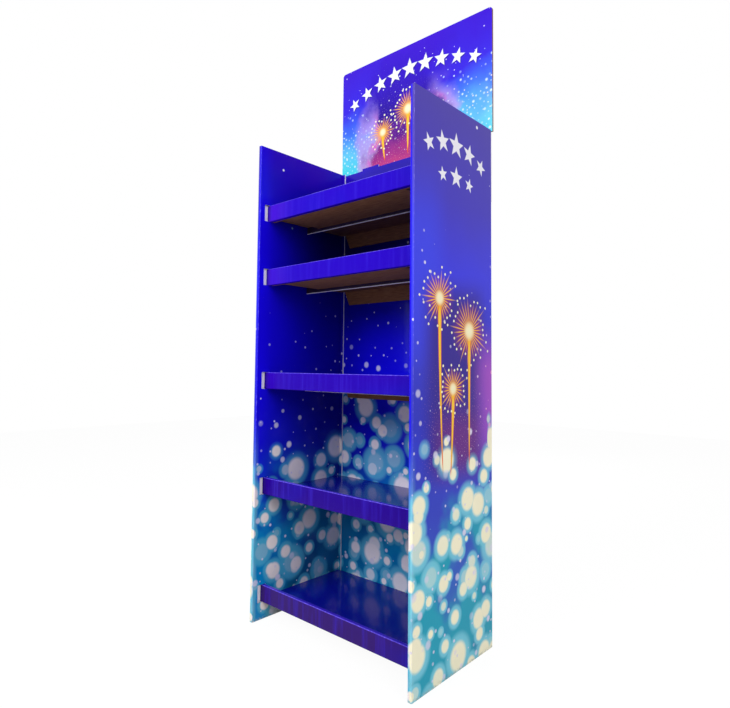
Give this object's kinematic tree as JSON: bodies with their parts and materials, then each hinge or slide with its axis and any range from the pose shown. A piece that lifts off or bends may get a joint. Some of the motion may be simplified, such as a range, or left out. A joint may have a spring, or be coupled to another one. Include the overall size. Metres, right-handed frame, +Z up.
{
  "type": "cardboard display stand",
  "caption": "Free-standing shop display of printed corrugated board with folded double side walls, lipped tray shelves and a tall header card.",
  "frame": {"origin": "on the floor under the middle of the stand's overall footprint", "axes": "+Z up, +X to the right as seen by a shopper in front, +Y to the rear, so the open front faces -Y"},
  "size_m": [0.6, 0.3726, 1.8],
  "materials": {
    "side_wall_print": "gloss printed board",
    "back_panel_print": "gloss printed board",
    "header_print": "gloss printed board",
    "shelf_print": "gloss printed board",
    "brace_board": "plain kraft board"
  },
  "bodies": {
    "root": {"left_side_wall": "side_wall_print", "right_side_wall": "side_wall_print", "back_panel": "back_panel_print", "header_card": "header_print", "shelf_1": "shelf_print", "shelf_brace_1": "brace_board", "shelf_2": "shelf_print", "shelf_brace_2": "brace_board", "shelf_3": "shelf_print", "shelf_brace_3": "brace_board", "shelf_4": "shelf_print", "shelf_brace_4": "brace_board", "shelf_5": "shelf_print", "shelf_brace_5": "brace_board"}
  },
  "joints": []
}
